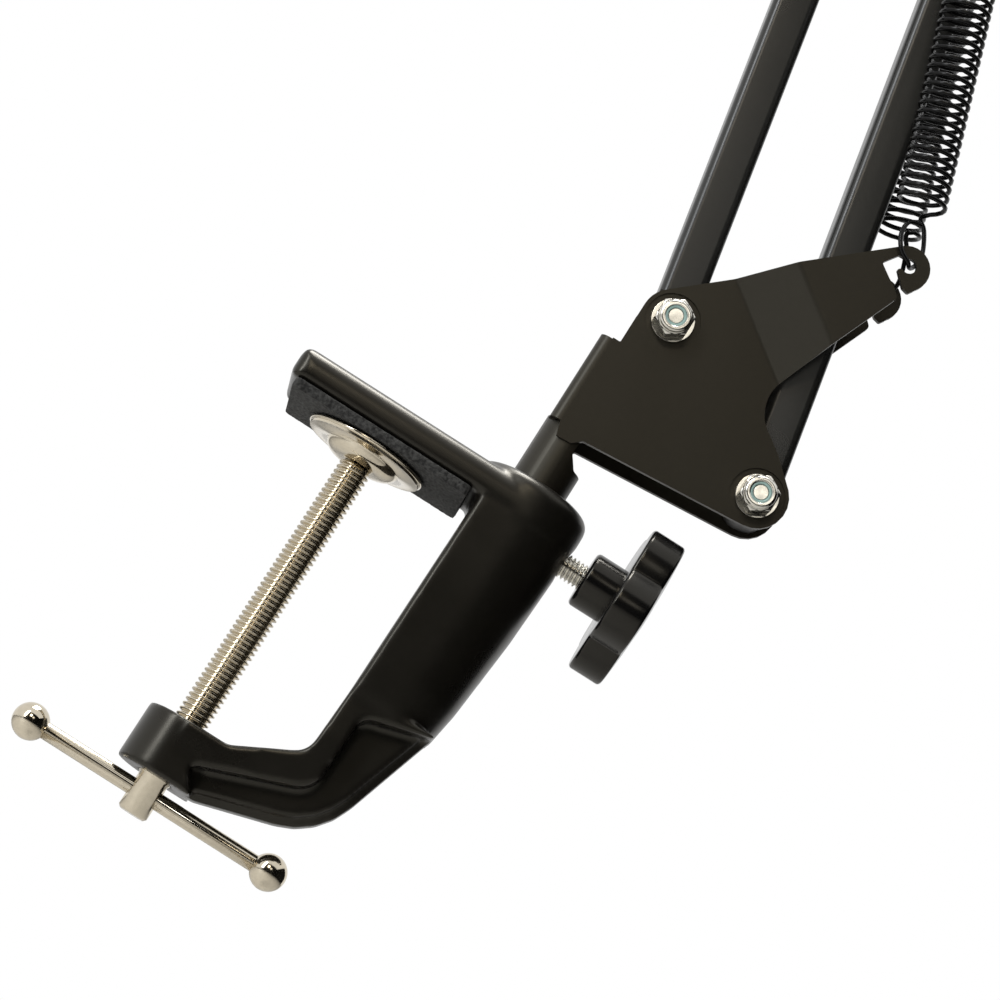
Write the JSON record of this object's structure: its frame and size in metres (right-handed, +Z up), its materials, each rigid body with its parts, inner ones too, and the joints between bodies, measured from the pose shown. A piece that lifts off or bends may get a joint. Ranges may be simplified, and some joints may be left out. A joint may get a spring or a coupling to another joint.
{
  "type": "microphone boom arm",
  "caption": "Sprung parallelogram boom arm on a C-clamp, with a swivel post, a folded-sheet elbow and a tilting threaded microphone adapter.",
  "frame": {"origin": "underside of the foam pad on the clamp screw's axis, in the arm's middle plane", "axes": "+Z up along the post, +X from the clamp screw towards the post and thumb knob, -Y towards the lock nuts and the tilt knob"},
  "size_m": [0.4675, 0.0364, 0.6575],
  "materials": {
    "clamp_casting": "semi-gloss black enamel over a cast body",
    "foam": "matt black closed-cell foam",
    "nickel_plate": "bright nickel plating with a slightly warm tint",
    "knob_plastic": "glossy black moulded plastic",
    "black_sheet": "satin black powder coat on folded sheet steel",
    "black_tube": "satin black powder coat on square steel tube",
    "nylon": "dark grey moulded nylon",
    "zinc": "bright zinc plating",
    "nut_insert": "pale blue nylon locking ring",
    "plain_steel": "plain turned steel",
    "spring_steel": "black oiled spring wire",
    "brass": "turned brass, lightly polished"
  },
  "bodies": {
    "clamp": {"clamp_frame": "clamp_casting", "jaw_pad": "foam"},
    "pressure_plate": {"pressure_plate": "nickel_plate"},
    "clamp_screw": {"clamp_screw": "nickel_plate"},
    "tommy_bar": {"tommy_bar": "nickel_plate", "tommy_balls": "nickel_plate"},
    "thumb_stud": {"thumb_stud": "zinc"},
    "thumb_knob": {"thumb_knob": "knob_plastic"},
    "base": {"base_bracket": "black_sheet", "base_bolts": "zinc", "base_nuts": "zinc", "base_nut_inserts": "nut_insert", "base_washers": "zinc", "base_sleeves": "plain_steel"},
    "lower_rear": {"lower_rear_tube": "black_tube", "lower_rear_ends": "nylon"},
    "lower_front": {"lower_front_tube": "black_tube", "lower_front_ends": "nylon", "lower_spring_pin": "zinc", "lower_spring_near": "spring_steel", "lower_spring_far": "spring_steel"},
    "elbow": {"elbow_bracket": "black_sheet", "elbow_bolts": "zinc", "elbow_nuts": "zinc", "elbow_nut_inserts": "nut_insert", "elbow_washers": "zinc", "elbow_sleeves": "plain_steel"},
    "upper_rear": {"upper_rear_tube": "black_tube", "upper_rear_ends": "nylon"},
    "upper_front": {"upper_front_tube": "black_tube", "upper_front_ends": "nylon", "upper_spring_pin": "zinc", "upper_spring_near": "spring_steel", "upper_spring_far": "spring_steel"},
    "head": {"head_bracket": "black_sheet", "head_bolts": "zinc", "head_nuts": "zinc", "head_nut_inserts": "nut_insert", "head_washers": "zinc", "head_sleeves": "plain_steel", "tilt_screw": "zinc"},
    "tilt_washer": {"tilt_washer": "zinc"},
    "tilt_knob": {"tilt_knob": "knob_plastic"},
    "tilt_block": {"tilt_block": "black_sheet", "adapter_screw": "zinc"},
    "mic_adapter": {"mic_adapter": "brass"}
  },
  "joints": [
    {"name": "clamp_travel", "type": "slide", "parent": "clamp", "child": "pressure_plate", "axis": [0, 0, 1], "range_m": [-0.06, 0]},
    {"name": "clamp_screw_spin", "type": "hinge", "parent": "pressure_plate", "child": "clamp_screw", "pos_m": [0, 0, -0.08], "axis": [0, 0, 1], "range_deg": [-17280, 0]},
    {"name": "tommy_bar_slide", "type": "slide", "parent": "clamp_screw", "child": "tommy_bar", "axis": [1, 0, 0], "range_m": [-0.019, 0.0165]},
    {"name": "thumb_travel", "type": "slide", "parent": "clamp", "child": "thumb_stud", "axis": [1, 0, 0], "range_m": [0, 0.006]},
    {"name": "thumb_spin", "type": "hinge", "parent": "thumb_stud", "child": "thumb_knob", "pos_m": [0.06, 0, 0.0016], "axis": [1, 0, 0], "range_deg": [0, 2160]},
    {"name": "base_swivel", "type": "hinge", "parent": "clamp", "child": "base", "pos_m": [0.0364, 0, 0], "axis": [0, 0, 1], "continuous": true},
    {"name": "lower_arm", "type": "hinge", "parent": "base", "child": "lower_rear", "pos_m": [0.0418, 0, 0.0606], "axis": [0, -1, 0], "range_deg": [-35, 29], "deforming": ["lower_spring_near", "lower_spring_far"]},
    {"name": "lower_front_swing", "type": "hinge", "parent": "base", "child": "lower_front", "pos_m": [0.0784, 0, 0.0369], "axis": [0, -1, 0], "range_deg": [-35, 29]},
    {"name": "elbow_level", "type": "hinge", "parent": "lower_rear", "child": "elbow", "pos_m": [-0.02074, 0, 0.3948], "axis": [0, -1, 0], "range_deg": [-29, 35]},
    {"name": "upper_arm", "type": "hinge", "parent": "elbow", "child": "upper_rear", "pos_m": [-0.03474, 0, 0.4188], "axis": [0, -1, 0], "range_deg": [-35, 29], "deforming": ["upper_spring_near", "upper_spring_far"]},
    {"name": "upper_front_swing", "type": "hinge", "parent": "elbow", "child": "upper_front", "pos_m": [0.00429, 0, 0.43824], "axis": [0, -1, 0], "range_deg": [-35, 29]},
    {"name": "head_level", "type": "hinge", "parent": "upper_rear", "child": "head", "pos_m": [-0.35424, 0, 0.53508], "axis": [0, -1, 0], "range_deg": [-29, 35]},
    {"name": "head_tilt", "type": "hinge", "parent": "head", "child": "tilt_block", "pos_m": [-0.37024, 0, 0.52108], "axis": [0, -1, 0], "range_deg": [-90, 35]},
    {"name": "tilt_knob_travel", "type": "slide", "parent": "head", "child": "tilt_washer", "axis": [0, -1, 0], "range_m": [0, 0.003]},
    {"name": "tilt_knob_spin", "type": "hinge", "parent": "tilt_washer", "child": "tilt_knob", "pos_m": [-0.37024, -0.012, 0.52108], "axis": [0, -1, 0], "range_deg": [0, 1080]},
    {"name": "mic_swivel", "type": "hinge", "parent": "tilt_block", "child": "mic_adapter", "pos_m": [-0.37024, 0, 0.49108], "axis": [0, 0, -1], "continuous": true}
  ],
  "couplings": [
    {"joint": "clamp_travel", "follows": "clamp_screw_spin", "m_per_rad": 0.00019894},
    {"joint": "thumb_travel", "follows": "thumb_spin", "m_per_rad": 0.00015915},
    {"joint": "lower_front_swing", "follows": "lower_arm", "ratio": 1},
    {"joint": "elbow_level", "follows": "lower_arm", "ratio": -1},
    {"joint": "upper_front_swing", "follows": "upper_arm", "ratio": 1},
    {"joint": "head_level", "follows": "upper_arm", "ratio": -1},
    {"joint": "tilt_knob_travel", "follows": "tilt_knob_spin", "m_per_rad": 0.00015915}
  ]
}
